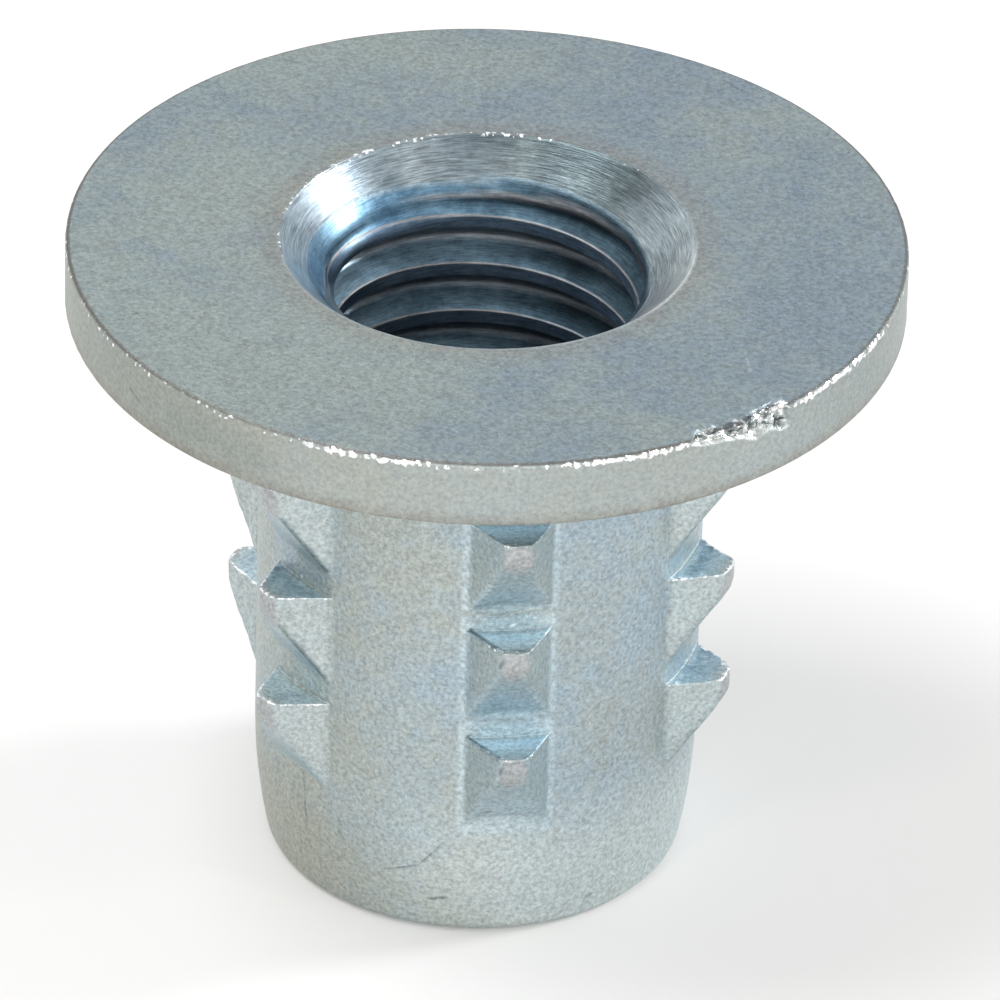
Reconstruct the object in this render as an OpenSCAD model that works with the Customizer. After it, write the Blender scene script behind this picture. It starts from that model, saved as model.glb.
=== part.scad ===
// Flanged knock-in threaded insert: a cold-formed steel sleeve with a broad flange,
// a countersunk tapped bore and columns of one-way barbs along its barrel.
// Millimetres, +Z up. The origin is on the axis, at the barrel's end, where the insert stands.

/* [Flange] */
// Diameter of the flange
flange_d = 18.8; // [16:0.1:22]
// Thickness of the flange
flange_t = 1.6; // [1.2:0.05:2.2]
// Rounding of the flange's two edges
flange_edge_r = 0.12; // [0.05:0.01:0.4]

/* [Barrel] */
// Overall height, from the barrel's end to the flange's face
height = 15.45; // [14.8:0.05:20]
// Diameter of the barrel
barrel_d = 10.05; // [9.4:0.05:11]
// Height of the slightly tapered lead-in at the barrel's end
lead_h = 2.95; // [2:0.05:3.5]
// How far the lead-in draws in from the barrel's side, measured at the very end
lead_drop = 0.32; // [0.1:0.02:0.6]
// Rounding of the rim at the barrel's end
end_edge_r = 0.3; // [0.1:0.05:0.4]

/* [Bore] */
// Diameter that the bore is drilled to before it is tapped
bore_d = 6.8; // [6.4:0.05:7.2]
// Diameter of the countersink at the flange's face
sink_d = 9.24; // [8:0.02:11]
// Full angle of the countersink
sink_angle = 90; // [80:1:120]
// Depth of the small chamfer at the bore's lower mouth
mouth_chamfer = 0.45; // [0.2:0.05:0.6]

/* [Barbs] */
// Number of columns of barbs round the barrel
columns = 6; // [3:1:8]
// Number of barbs in a column
rows = 3; // [1:1:3]
// Drop from the flange's face to the shelf of the first row
first_drop = 4.28; // [3:0.02:4.6]
// Step from one row to the next
row_step = 2.84; // [2.6:0.02:3]
// Length of a barb's foot along the barrel
barb_l = 2.17; // [1.6:0.01:2.4]
// Width of a barb's foot round the barrel
barb_w = 1.94; // [1.2:0.02:2.4]
// How far a barb stands out of the barrel
barb_rise = 1.04; // [0.6:0.02:1.5]
// Width of a barb's blunt nose
nose_w = 0.62; // [0.3:0.02:1]
// Height of a barb's blunt nose
nose_h = 0.56; // [0.5:0.02:0.9]
// Rounding of the nose, above and below
nose_r = 0.2; // [0.05:0.01:0.22]
// How far a barb's shelf rises from the barrel to the nose
shelf_lift = 0.06; // [0:0.01:0.2]

/* [Hidden] */
$fn = 96;
zinc = [0.66, 0.71, 0.71];
// Overlap that keeps a cut clear of the face it starts from
past = 0.5;

flange_r = flange_d / 2;
flange_base = height - flange_t;
barrel_r = barrel_d / 2;
bore_r = bore_d / 2;
sink_r = sink_d / 2;
sink_depth = (sink_r - bore_r) / tan(sink_angle / 2);

// The lead-in is one long arc, tangent to the barrel's side at the height lead_h
lead_arc_r = (lead_h * lead_h + lead_drop * lead_drop) / (2 * lead_drop);
lead_arc_x = barrel_r - lead_arc_r;
// Centre of the rim's rounding, which touches the end face and the lead-in's arc
rim_x = lead_arc_x + sqrt(pow(lead_arc_r - end_edge_r, 2) - pow(lead_h - end_edge_r, 2));
// Height at which the rim's rounding passes into the lead-in
rim_top = lead_h - (lead_h - end_edge_r) * lead_arc_r / (lead_arc_r - end_edge_r);

first_shelf = height - first_drop;
// Radius at which the sides of a barb's foot meet the round barrel
foot_r = sqrt(barrel_r * barrel_r - barb_w * barb_w / 4);
// Radius inside the barrel down to which a barb is rooted
root_r = (foot_r + bore_r) / 2;
nose_out = barrel_r + barb_rise;
// Angle of a barb's shelf above the level
shelf_angle = atan(shelf_lift / barb_rise);
// Height of the lower corner of a barb's nose, from the foot of its shelf
nose_foot = shelf_lift - nose_h;
// Angle between a barb's nose and the slope below it
slope_angle = atan(barb_rise / (barb_l + nose_foot));
// Distances from the nose's two corners to where their roundings begin
upper_tangent = nose_r * tan((90 + shelf_angle) / 2);
lower_tangent = nose_r * tan(slope_angle / 2);

// Half section of a disc with both edges rounded, from the axis outwards
module rounded_half_section(r, t, edge_r) {
  square([r - edge_r, t]);
  translate([0, edge_r])
    square([r, t - 2 * edge_r]);
  for (z = [edge_r, t - edge_r])
    translate([r - edge_r, z])
      circle(r = edge_r);
}

module flange() {
  translate([0, 0, flange_base])
    rotate_extrude()
      intersection() {
        rounded_half_section(flange_r, flange_t, flange_edge_r);
        square([flange_r, flange_t]);
      }
}

// Half section of the barrel: straight side, long arc of the lead-in, rounded rim
module barrel_half_section() {
  translate([0, lead_h])
    square([barrel_r, flange_base + flange_t / 2 - lead_h]);
  intersection() {
    translate([lead_arc_x, lead_h])
      circle(r = lead_arc_r, $fn = 4 * $fn);
    translate([0, rim_top])
      square([barrel_r, lead_h - rim_top]);
  }
  square([rim_x, rim_top]);
  intersection() {
    translate([rim_x, end_edge_r])
      circle(r = end_edge_r);
    square([barrel_r, rim_top]);
  }
}

module barrel() {
  rotate_extrude()
    barrel_half_section();
}

// Side view of a barb, x outwards and y up, with the foot of its shelf on y = 0
module barb_side() {
  upper_y = shelf_lift - upper_tangent;
  lower_y = nose_foot + lower_tangent;
  polygon([
    [root_r, -(barrel_r - root_r) * tan(shelf_angle)],
    [nose_out - upper_tangent * cos(shelf_angle), shelf_lift - upper_tangent * sin(shelf_angle)],
    [nose_out, upper_y],
    [nose_out, lower_y],
    [nose_out - lower_tangent * sin(slope_angle), nose_foot - lower_tangent * cos(slope_angle)],
    [root_r, -barb_l - (barrel_r - root_r) / tan(slope_angle)]
  ]);
  for (y = [upper_y, lower_y])
    translate([nose_out - nose_r, y])
      circle(r = nose_r, $fn = 24);
}

// Plan of a barb, x outwards: straight in the barrel, drawing in towards the nose
module barb_plan() {
  polygon([
    [root_r, -barb_w / 2],
    [foot_r, -barb_w / 2],
    [nose_out, -nose_w / 2],
    [nose_out, nose_w / 2],
    [foot_r, barb_w / 2],
    [root_r, barb_w / 2]
  ]);
}

// One barb on the side towards +X: flat shelf above, blunt nose, long slope below
module barb() {
  intersection() {
    rotate([90, 0, 0])
      linear_extrude(height = 2 * barb_w, center = true)
        barb_side();
    translate([0, 0, -2 * barb_l])
      linear_extrude(height = 3 * barb_l)
        barb_plan();
  }
}

module barb_columns() {
  for (column = [0 : columns - 1])
    for (row = [0 : rows - 1])
      rotate([0, 0, column * 360 / columns - 90])
        translate([0, 0, first_shelf - row * row_step])
          barb();
}

// Everything that is taken out along the axis: bore, countersink and lower chamfer
module bore_cut() {
  mouth_r = bore_r + mouth_chamfer;
  translate([0, 0, -past])
    cylinder(r = bore_r, h = height + 2 * past);
  rotate_extrude()
    polygon([
      [0, height - sink_depth],
      [bore_r, height - sink_depth],
      [sink_r, height],
      [sink_r, height + past],
      [0, height + past]
    ]);
  rotate_extrude()
    polygon([
      [0, -past],
      [mouth_r, -past],
      [mouth_r, 0],
      [bore_r, mouth_chamfer],
      [0, mouth_chamfer]
    ]);
}

module insert() {
  color(zinc)
    difference() {
      union() {
        flange();
        barrel();
        barb_columns();
      }
      bore_cut();
    }
}

insert();
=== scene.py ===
"""Dressed model of a flanged knock-in threaded insert of zinc-plated steel.

The insert is one piece.  Its skin is laid out as a turned grid with a helical
bore.  Geometry Nodes then cut the thread, raise the columns of barbs and crush
the knocked stretch of the flange's edge.  Sizes are in millimetres, and the
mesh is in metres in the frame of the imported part.
"""

import logging
import math
from dataclasses import dataclass, field, fields
from enum import Enum

import bmesh
import bpy
import numpy as np
from mathutils import Matrix, Vector

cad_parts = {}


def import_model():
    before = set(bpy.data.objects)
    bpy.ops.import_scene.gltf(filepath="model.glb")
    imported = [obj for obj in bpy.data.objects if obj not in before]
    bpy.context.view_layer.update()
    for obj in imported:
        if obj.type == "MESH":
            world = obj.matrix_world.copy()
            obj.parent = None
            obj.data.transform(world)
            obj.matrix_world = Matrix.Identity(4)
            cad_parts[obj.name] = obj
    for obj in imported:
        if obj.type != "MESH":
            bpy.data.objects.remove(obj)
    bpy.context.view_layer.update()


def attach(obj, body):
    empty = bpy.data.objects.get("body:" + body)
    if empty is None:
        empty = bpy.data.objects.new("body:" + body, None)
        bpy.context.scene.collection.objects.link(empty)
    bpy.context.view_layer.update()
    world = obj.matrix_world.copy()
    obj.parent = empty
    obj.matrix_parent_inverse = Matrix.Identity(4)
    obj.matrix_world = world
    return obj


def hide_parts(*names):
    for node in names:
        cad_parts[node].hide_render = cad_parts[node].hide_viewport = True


LOG = logging.getLogger("threaded_insert")

MM = 0.001
NODE = "insert"
BODY = "root"

MATH = "ShaderNodeMath"
VECTOR_MATH = "ShaderNodeVectorMath"
NOISE = "ShaderNodeTexNoise"
RANGE = "ShaderNodeMapRange"
MIX = "ShaderNodeMix"
MIX_FACTOR, MIX_A, MIX_B, MIX_RESULT = 0, 6, 7, 2
MIX_LOW, MIX_HIGH = 2, 3
X, Y, Z, BESIDE, RADIUS = range(5)
SMOOTH = {"interpolation_type": "SMOOTHSTEP"}
WHITE = (1.0, 1.0, 1.0, 1.0)
FLAT = (1.0, 1.0, 0.0)

Feed = object


class Sum(Enum):
    """Short names of what a Math node does most."""

    PLUS = "ADD"
    MINUS = "SUBTRACT"
    TIMES = "MULTIPLY"
    TIMES_PLUS = "MULTIPLY_ADD"
    OVER = "DIVIDE"
    LEAST = "MINIMUM"
    MOST = "MAXIMUM"


class Zone(Enum):
    """Stretches of the skin that differ in how they were made, and the edges that carry painted
    glints and a painted dark reflection.
    """

    TOP = "zone_top"
    RIM = "zone_rim"
    EDGE = "zone_edge"
    WORN = "zone_worn"
    CONE = "zone_cone"
    BORE = "zone_bore"


class Mark(Enum):
    """Parts of the barbs and the thread, and the knocked edge, as the trees write them."""

    SHELF = "barb_shelf"
    RIDGE = "barb_ridge"
    SLOPE = "barb_slope"
    NOSE = "barb_nose"
    FRAME = "barb_frame"
    FACE = "barb_face"
    CRUSH = "crushed_edge"
    CREST = "thread_crest"
    LIP = "thread_lip"


class Side(Enum):
    """Where a tone holds: an axis, two places on it in millimetres, and the share at each.

    BESIDE is the distance to either side of the middle, and RADIUS that from the axis.
    """

    LOW = (Z, 4.0, 2.0, 0.0, 1.0)
    THREADED = (Z, 14.1, 13.9, 0.0, 1.0)
    RIM_FOOT = (Z, 14.25, 13.86, 0.0, 0.75)
    DRIFT = (X, -6.0, 6.0, -0.13, 0.13)
    LIGHTER = (X, -4.5, 0.5, 0.0, 1.0)
    LEFTMOST = (X, -2.0, -4.2, 0.0, 1.0)
    SHADED = (X, -2.7, -1.7, 0.0, 1.0)
    RIGHT_HALF = (X, -1.2, 2.4, 0.0, 1.0)
    LIT_HALF = (X, -1.2, 2.4, 1.0, 0.05)
    RIGHTMOST = (X, 2.4, 3.4, 0.0, 1.0)
    NEAR = (Y, 1.5, -2.0, 0.0, 1.0)
    NEAREST = (Y, -0.2, -1.5, 0.0, 1.0)
    AHEAD = (Y, 2.4, 0.4, 0.0, 1.0)
    FAR = (Y, 0.6, 2.4, 0.0, 1.0)
    MIDDLE = (BESIDE, 2.0, 3.4, 1.0, 0.0)
    ASIDE = (BESIDE, 2.0, 3.4, 0.0, 1.0)
    WING = (BESIDE, 5.0, 8.0, 0.0, 1.0)
    ROUND_SINK = (RADIUS, 5.4, 4.66, 0.0, 0.5)


class Fade(Enum):
    """How a form comes and goes: two readings, mostly in millimetres, and what each gives."""

    # Thread
    NECK_TO_BACK = (-1.2, 1.4, 0.0, 1.0)
    SOFT_OUTWARD = (3.45, 3.6, 0.0, 0.3)
    AT_WALL = (-0.05, 0.0, 0.0, 1.0)
    PAST_FLANK = (-0.02, 0.02, 0.0, 1.0)
    AT_LIP = (0.03, 0.01, 0.0, 1.0)
    # Wander of the barbs
    RAGGED = (0.2, 0.8, -0.03, 0.03)
    TILTED = (0.0, 1.0, -0.06, 0.06)
    SHIFTED = (0.0, 1.0, -0.03, 0.03)
    # Faces of a barb
    STANDING = (0.04, 0.14, 0.0, 1.0)
    UPPER_EDGE = (0.15, 0.05, 0.0, 1.0)
    LOWER_EDGE = (-1.5, -0.6, 0.0, 1.0)
    NOSE_SPOT = (1.25, 0.7, 0.0, 1.0)
    UNDER_SHELF = (0.03, 0.09, 0.0, 1.0)
    BESIDE_FOOT = (0.16, 0.02, 0.0, 1.0)
    BETWEEN_FEET = (0.5, 0.3, 0.0, 1.0)
    ON_SLOPE = (-0.04, 0.1, 0.0, 1.0)
    LOW_ON_SLOPE = (1.0, 1.7, 0.3, 1.0)
    # Knocked edge
    KNOCK_ENDS = (1.15, 0.95, 0.0, 1.0)
    KNOCK_FRAYED = (0.3, 0.7, 0.7, 1.2)
    KNOCK_BAND = (0.0, 0.1, 0.0, 1.0)
    LUMPS = (0.3, 0.85, 0.1, 1.0)
    NEAR_TOP = (0.0, 0.25, 1.0, 0.0)


def linear(hex_colour: str) -> tuple[float, float, float, float]:
    """Turns a colour as seen on a screen into what a shader socket takes.

    Args:
        hex_colour: sRGB colour written as "rrggbb".

    Returns:
        Linear red, green and blue, and an alpha of one.
    """
    parts = [int(hex_colour[i : i + 2], 16) / 255 for i in (0, 2, 4)]
    made = [p / 12.92 if p <= 0.04045 else ((p + 0.055) / 1.055) ** 2.4 for p in parts]
    return (*made, 1.0)


def per_metre(size_mm: float) -> float:
    """Scale of a pattern on metre coordinates whose features measure size_mm."""
    return 1 / (size_mm * MM)


class Graph:
    """A node tree that grows one node at a time."""

    def __init__(self, tree: bpy.types.NodeTree) -> None:
        """Wraps a tree and clears it."""
        self.tree = tree
        self.entry: bpy.types.Node | None = None
        tree.nodes.clear()

    @classmethod
    def of_geometry(cls, name: str, sizes: dict[str, float]) -> "Graph":
        """Starts a geometry tree with one named input for each size.

        Args:
            name: Name of the tree.
            sizes: Name and default value of each input.

        Returns:
            The graph, with its Group Input in place.
        """
        tree = bpy.data.node_groups.new(name, "GeometryNodeTree")
        graph = cls(tree)
        face = tree.interface
        face.new_socket("Geometry", in_out="INPUT", socket_type="NodeSocketGeometry")
        face.new_socket("Geometry", in_out="OUTPUT", socket_type="NodeSocketGeometry")
        for label, value in sizes.items():
            made = face.new_socket(label, in_out="INPUT", socket_type="NodeSocketFloat")
            made.default_value = value
        graph.entry = tree.nodes.new("NodeGroupInput")
        return graph

    def size(self, label: str) -> bpy.types.NodeSocket:
        """Gives the socket of the named input."""
        return self.entry.outputs[label]

    def add(
        self, kind: str | Sum, *feeds: Feed, out: int | str = 0, **settings: Feed
    ) -> bpy.types.NodeSocket:
        """Adds a node with its settings and links.

        Args:
            kind: Identifier of the node's type, or the sum that a Math node does.
            feeds: What goes into each input in order: a socket, a value, or None
                to leave it.  A dict gives inputs by index or name instead.
            out: Index or name of the output to return.
            settings: The node's own properties.

        Returns:
            The chosen output socket.
        """
        if isinstance(kind, Sum):
            kind, settings = MATH, {**settings, "operation": kind.value}
        node = self.tree.nodes.new(kind)
        for name, value in settings.items():
            setattr(node, name, value)
        for place, feed in enumerate(feeds):
            wanted = feed if isinstance(feed, dict) else {place: feed}
            for key, value in wanted.items():
                if isinstance(value, bpy.types.NodeSocket):
                    self.tree.links.new(value, node.inputs[key])
                elif value is not None:
                    node.inputs[key].default_value = value
        return node.outputs[out] if node.outputs else None

    def whereabouts(self) -> tuple[Feed, Feed, Feed]:
        """Gives a point's place in millimetres, its coordinates, and its distance from the axis."""
        at = self.add("GeometryNodeInputPosition")
        place = self.add(VECTOR_MATH, at, {"Scale": 1 / MM}, operation="SCALE")
        parts = self.add("ShaderNodeSeparateXYZ", place).node.outputs
        flat = self.add(VECTOR_MATH, place, FLAT, operation="MULTIPLY")
        return place, parts, self.add(VECTOR_MATH, flat, operation="LENGTH", out="Value")

    def mark(self, shape: bpy.types.NodeSocket, marks: dict[Mark, Feed]) -> bpy.types.NodeSocket:
        """Writes shares on the points of a shape, each under its mark's name."""
        for mark, value in marks.items():
            feeds = {"Geometry": shape, "Name": mark.value, "Value": value}
            shape = self.add(
                "GeometryNodeStoreNamedAttribute", feeds, data_type="FLOAT", domain="POINT"
            )
        return shape

    def close(self, geometry: bpy.types.NodeSocket, material: bpy.types.Material) -> None:
        """Ends a geometry tree with real geometry that carries the finish."""
        real = self.add("GeometryNodeRealizeInstances", geometry)
        dressed = self.add("GeometryNodeSetMaterial", {"Geometry": real, "Material": material})
        self.add("NodeGroupOutput", dressed)


class Surface(Graph):
    """Material tree of the insert, with the share of each zone, mark and side."""

    def __init__(self, tree: bpy.types.NodeTree) -> None:
        """Clears the tree and adds what every layer of the finish reads."""
        super().__init__(tree)
        self.at = self.add("ShaderNodeTexCoord", out="Object")
        self.parts = self.add("ShaderNodeSeparateXYZ", self.at).node.outputs
        flat = self.add(VECTOR_MATH, self.at, FLAT, operation="MULTIPLY")
        self.radius = self.add(VECTOR_MATH, flat, operation="LENGTH", out="Value")
        beside = self.add(MATH, self.parts[X], operation="ABSOLUTE")
        axes = (self.parts[X], self.parts[Y], self.parts[Z], beside, self.radius)
        self.share: dict[Enum, bpy.types.NodeSocket] = {}
        for mark in (*Zone, *Mark):
            self.share[mark] = self.add("ShaderNodeAttribute", out="Fac", attribute_name=mark.value)
        for side in Side:
            axis, start, end, least, most = side.value
            self.share[side] = self.add(RANGE, axes[axis], start * MM, end * MM, least, most)

    def common(self, *places: Enum) -> bpy.types.NodeSocket:
        """Gives the share that zones, marks and sides have in common."""
        mask = self.share[places[0]]
        for place in places[1:]:
            mask = self.add(Sum.TIMES, mask, self.share[place])
        return mask

    def coat(self, under: Feed, *coats: tuple[Feed, Feed]) -> bpy.types.NodeSocket:
        """Lays coats of colour over each other, each by its own share from 0 to 1."""
        for share, over in coats:
            feeds = {MIX_FACTOR: share, MIX_A: under, MIX_B: over}
            under = self.add(MIX, feeds, out=MIX_RESULT, data_type="RGBA")
        return under


@dataclass(frozen=True)
class Pattern:
    """A fractal pattern, by the size of its features in millimetres."""

    size_mm: float
    detail: float
    roughness: float = 0.5

    def feeds(self) -> dict[str, float]:
        """Gives what the pattern's node takes."""
        scale = per_metre(self.size_mm)
        return {"Scale": scale, "Detail": self.detail, "Roughness": self.roughness}


@dataclass(frozen=True)
class Tone:
    """Two colours that a surface wanders between."""

    plain: str
    patch: str


@dataclass(frozen=True)
class Scuff:
    """A scratch, crease or spot, or a painted highlight or shadow, between two places on the insert,
    in millimetres.
    """

    start: tuple[float, float, float]
    end: tuple[float, float, float]
    width: float
    colour: str
    strength: float = 0.6

    @classmethod
    def on_side(
        cls,
        radius: float,
        start: tuple[float, float],
        end: tuple[float, float],
        width: float,
        colour: str,
        strength: float = 0.6,
    ) -> "Scuff":
        """Lays a scuff on a cylinder between two pairs of azimuth in degrees and height."""
        ends = []
        for azimuth, height in (start, end):
            a = math.radians(azimuth)
            ends.append((radius * math.cos(a), radius * math.sin(a), height))
        return cls(*ends, width, colour, strength)


@dataclass(frozen=True)
class ZincPlatedSteel:
    """Cold-formed steel, barrel plated with clear-passivated zinc.

    The plating is a dull, fine-grained metal: broad soft reflections and a speckle
    of beige and blue-grey.  Some tones carry painted light and shade, and the worn
    edges carry painted glints.
    """

    name: str = "zinc_plated_steel"
    barrel: Tone = Tone("afb6b2", "a8b9c3")
    # The top face is toned darker than the rim and barrel: painted shade.
    top: Tone = Tone("919c9b", "818f99")
    rim: Tone = Tone("acb0aa", "a9b2b2")
    # Darker sides of the rim: painted shade.
    rim_side_shade: Tone = Tone("9da29c", "9aa3a3")
    cone: Tone = Tone("8d9aa3", "66747c")
    # Painted light and shade in the countersink: lighter at the front and right, darker at the back
    # right.
    cone_front_light: Tone = Tone("9aa8b0", "c6d2d8")
    cone_back_shade: Tone = Tone("707c7e", "4f5a5e")
    cone_right_light: Tone = Tone("b2bfc3", "9aa7ac")
    cone_low_light: Tone = Tone("f4f9fa", "e2ebee")
    # The bore's tone is partly its own blue-grey and partly painted shade; its right half is darker
    # with painted shade and its threaded left half lighter with painted light.
    bore: Tone = Tone("80a3b9", "4a687f")
    bore_right_shade: Tone = Tone("42545f", "2a3942")
    flank_light: Tone = Tone("86a2b3", "587284")
    crest: Tone = Tone("6f8496", "5a6e82")
    # Painted highlight on the thread's lips and root lines.
    lip: Tone = Tone("928f8d", "787d83")
    shelf: Tone = Tone("d8ecf6", "c6e0ee")
    side_shelf: Tone = Tone("d2e5ec", "6b8a9f")
    side_face: Tone = Tone("b9c2c2", "bcc9cc")
    # Painted light: the low barrel is lighter.
    lead_light: Tone = Tone("c8d0ce", "c5d0d2")
    lead_side: Tone = Tone("abaea6", "a3aca8")
    slope: Tone = Tone("bac9cf", "abbec8")
    side_slope: Tone = Tone("9fb0b4", "98abb2")
    nose: Tone = Tone("b6b9ba", "b0b5b8")
    face: Tone = Tone("abb6b6", "a2b3b9")
    frame: Tone = Tone("c3d0d3", "b8cad2")
    # Painted shade, brownish, at the rim's foot and round the countersink.
    foot_and_sink_shade: str = "8d8578"
    # Painted dark reflection along the flange's rolled upper edge.
    edge: str = "4d4946"
    # Painted highlight: glints on the worn edges, the countersink's edge, the barbs' ridges and the
    # crushed stretch.
    glint: str = "f7f8f9"
    # Painted shade in the crevices of the crushed stretch.
    pit_shade: str = "565b60"
    roughness: tuple[float, ...] = (0.3, 0.7, 0.45, 0.55)
    turned_roughness: float = 0.3
    bore_roughness: float = 0.62
    lip_roughness: float = 0.5
    worn_roughness: float = 0.2
    patches: Pattern = Pattern(3.4, 3.0, 0.55)
    mottle: Pattern = Pattern(0.5, 5.0, 0.75)
    speckle: Pattern = Pattern(0.1, 2.0, 0.7)
    glint_spots: Pattern = Pattern(0.13, 1.5)
    chips: Pattern = Pattern(0.16, 2.0)
    grain: Pattern = Pattern(0.115, 3.0, 0.65)
    grain_depth_mm: float = 0.029
    cone_r_mm: float = 4.0
    tool_line_mm: float = 0.036
    tool_line_length_mm: float = 0.5
    tool_line_depth_mm: float = 0.006
    mottle_share: float = 0.7
    wander_span: tuple[float, ...] = (0.68, 1.03, 0.0, 1.0)
    shade_break_span: tuple[float, ...] = (0.35, 0.6, 0.3, 1.0)
    light_specks: tuple[float, ...] = (0.5, 0.7, 1.0, 1.24)
    dark_pits: tuple[float, ...] = (0.3, 0.5, 0.74, 1.0)
    turned_contrast: tuple[float, ...] = (0.3, 0.7, 0.5, 1.6)
    calm_rim: float = 0.35
    bore_line_colour: float = 0.7
    bore_line_depth: float = 0.3
    roll_span: tuple[float, ...] = (0.25, 0.55, 0.0, 0.8)
    ridge_glint_span: tuple[float, ...] = (0.0, 1.0, 0.31, 0.68)
    worn_glint_weight: float = 0.25
    glint_spot_span: tuple[float, ...] = (0.66, 0.72, 0.0, 1.0)
    worn_glint_start: tuple[float, ...] = (0.05, 0.2, 0.0, 1.0)
    broken_span: tuple[float, ...] = (0.3, 0.8, 0.0, 1.0)
    chip_glints: tuple[float, ...] = (0.52, 0.66, 0.0, 0.9)
    chip_shade: tuple[float, ...] = (0.5, 0.36, 0.0, 0.75)
    chip_stretch: tuple[float, float, float] = (1.0, 1.0, 0.4)
    fray: float = -0.8
    soft_edge: float = 0.3
    scuffs: tuple[Scuff, ...] = (
        # Creases and spots on the barrel
        Scuff.on_side(5.0, (-124.5, 1.45), (-112.2, 1.87), 0.06, "6f7a7c"),
        Scuff.on_side(5.0, (-112.2, 1.87), (-105.8, 2.58), 0.05, "6f7a7c"),
        Scuff.on_side(5.0, (-105.8, 2.58), (-92.7, 2.58), 0.05, "7b8688"),
        Scuff.on_side(5.025, (-156.8, 3.53), (-148.0, 3.22), 0.07, "55666b"),
        Scuff.on_side(5.0, (-148.0, 3.22), (-146.7, 1.18), 0.07, "6a7b80"),
        Scuff.on_side(4.9, (-109.5, 0.92), (-105.0, 1.02), 0.11, "5d6263"),
        Scuff.on_side(4.8, (-65.5, 0.6), (-63.8, 0.64), 0.09, "4d565c"),
        Scuff.on_side(5.2, (-95.6, 3.64), (-94.4, 3.64), 0.16, "6b6258"),
        # Lines on the barbs: dark ridge lines, painted highlights on burrs, painted shadow under the
        # noses' edges, dark outlines by the noses
        Scuff((-4.93, -3.26, 10.47), (-3.92, -3.3, 9.04), 0.15, "5c7075", 0.8),
        Scuff((-4.93, -3.26, 7.63), (-3.92, -3.3, 6.2), 0.15, "5c7075", 0.8),
        # Painted highlights along the burrs on the shelves' edges
        Scuff((-4.65, -2.54, 8.39), (-4.34, -2.5, 8.39), 0.1, "e6f0f2", 0.8),
        Scuff((-4.34, -2.5, 8.39), (-4.18, -2.16, 8.39), 0.08, "e6f0f2", 0.8),
        Scuff((-4.81, -2.65, 5.55), (-4.37, -2.31, 5.55), 0.1, "e6f0f2", 0.8),
        Scuff((-4.37, -2.31, 5.55), (-4.3, -2.03, 5.55), 0.08, "e6f0f2", 0.8),
        # Painted shadow under the front edges of the noses
        Scuff((-0.88, -5.0, 8.34), (-0.33, -5.92, 8.34), 0.12, "52666f", 0.8),
        Scuff((-0.33, -5.92, 8.34), (0.33, -5.95, 8.34), 0.12, "52666f", 0.8),
        Scuff((-0.88, -5.0, 5.5), (-0.33, -5.92, 5.5), 0.12, "52666f", 0.8),
        Scuff((-0.25, -6.01, 8.26), (-0.33, -5.98, 7.98), 0.09, "66757b", 0.8),
        Scuff((-0.2, -6.02, 5.44), (-0.28, -5.99, 5.16), 0.09, "66757b", 0.8),
        # Marks on the flange's edge
        Scuff.on_side(9.4, (-153.9, 14.63), (-151.4, 14.48), 0.06, "6e6d66"),
        # A broad darker patch on the rim: painted shade
        Scuff.on_side(9.4, (-144.0, 14.6), (-130.0, 14.6), 0.9, "929c99", 0.4),
        # Scratches and faint streaks on the top face
        Scuff((6.27, 6.43, 15.45), (6.63, 5.90, 15.45), 0.05, "5f6a6e"),
        Scuff((-8.17, -2.39, 15.45), (-8.1, -2.36, 15.45), 0.09, "5c6567"),
        Scuff((5.76, -3.19, 15.45), (5.81, -3.15, 15.45), 0.07, "5c6567"),
        Scuff((5.01, -5.18, 15.45), (4.99, -6.1, 15.45), 0.06, "a9b4b7", 0.4),
        Scuff((-7.9, 0.6, 15.45), (-7.1, -0.1, 15.45), 0.5, "7a8c9b", 0.4),
        Scuff((-4.9, 6.3, 15.45), (-4.2, 5.9, 15.45), 0.55, "7a8c9b", 0.4),
        Scuff((6.9, 1.7, 15.45), (7.6, 1.2, 15.45), 0.35, "7a8c9b", 0.4),
    )

    def build(self) -> bpy.types.Material:
        """Builds the finish as one node material.

        Returns:
            The material, ready for the insert.
        """
        material = bpy.data.materials.new(self.name)
        material.use_nodes = True
        g = Surface(material.node_tree)
        mottle = g.add(NOISE, g.at, self.mottle.feeds())
        lines = self._tool_lines(g)
        calm = g.add(Sum.TIMES, g.share[Zone.RIM], self.calm_rim)
        colour = self._shaded_and_scuffed(g, self._toned(g, mottle), mottle)
        colour, worn = self._edge_light_and_wear(g, self._grained(g, colour, calm, lines))
        feeds = {
            "Base Color": colour,
            "Metallic": 1.0,
            "Roughness": self._dulled(g, mottle, worn),
            "Normal": self._relief(g, calm, lines),
        }
        g.add("ShaderNodeOutputMaterial", g.add("ShaderNodeBsdfPrincipled", feeds))
        return material

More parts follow.
